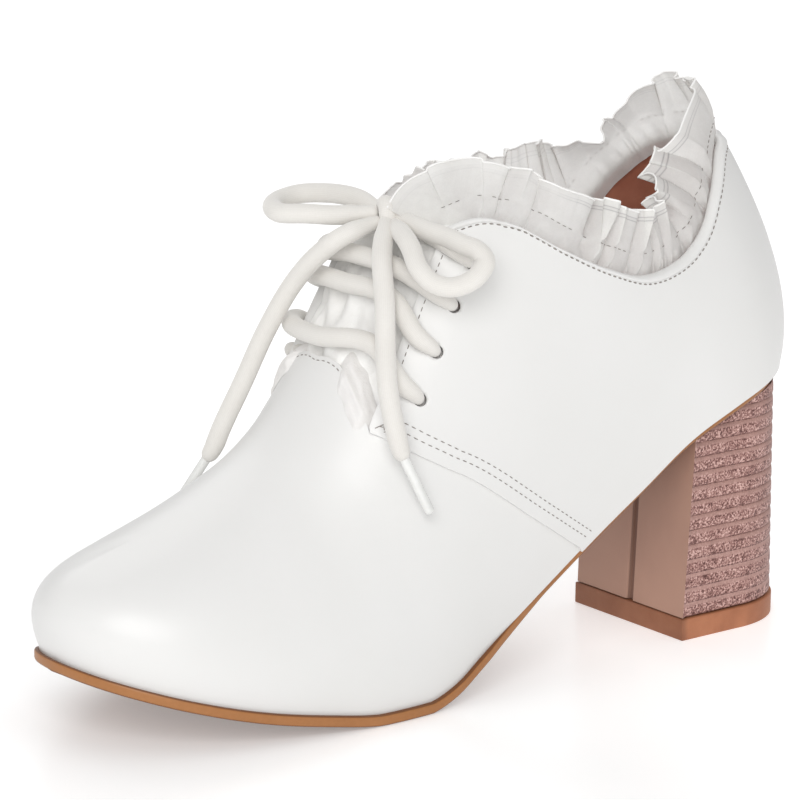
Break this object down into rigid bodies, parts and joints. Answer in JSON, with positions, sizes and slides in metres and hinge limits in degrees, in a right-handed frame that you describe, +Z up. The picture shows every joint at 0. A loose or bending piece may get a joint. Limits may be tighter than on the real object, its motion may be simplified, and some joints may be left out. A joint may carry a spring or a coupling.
{
  "type": "lace-up block heel shoe",
  "caption": "Low-cut lace-up shoe with a hollow leather upper, a gathered sheer frill inside the collar, a thin sole with toe spring and arch, and a ribbed block heel.",
  "frame": {"origin": "middle of the shoe's box on the floor that heel and forefoot stand on", "axes": "-X towards the toe, -Y towards the outer side of the foot, +Z up"},
  "size_m": [0.2356, 0.0775, 0.1502],
  "materials": {
    "white_leather": "soft satin white leather",
    "tan_sole": "smooth tan edge",
    "brown_insole": "chestnut lining leather",
    "mauve_heel": "ribbed, speckled, matte",
    "brown_rubber": "matte brick brown",
    "sheer_cloth": "crisp sheer organza",
    "white_lace": "soft woven cotton",
    "clear_tip": "clear film"
  },
  "bodies": {
    "root": {"upper": "white_leather", "outsole": "tan_sole", "insole": "brown_insole", "heel_top_lift": "brown_rubber", "heel_block": "mauve_heel", "tongue": "sheer_cloth", "collar_frill": "sheer_cloth", "tongue_frill": "sheer_cloth", "lace_bar_1": "white_lace", "lace_bar_2": "white_lace", "lace_bar_3": "white_lace", "lace_knot": "white_lace", "lace_loop_outer": "white_lace", "lace_loop_inner": "white_lace", "lace_end_outer": "white_lace", "lace_end_inner": "white_lace", "lace_tip_outer": "clear_tip", "lace_tip_inner": "clear_tip"}
  },
  "joints": []
}
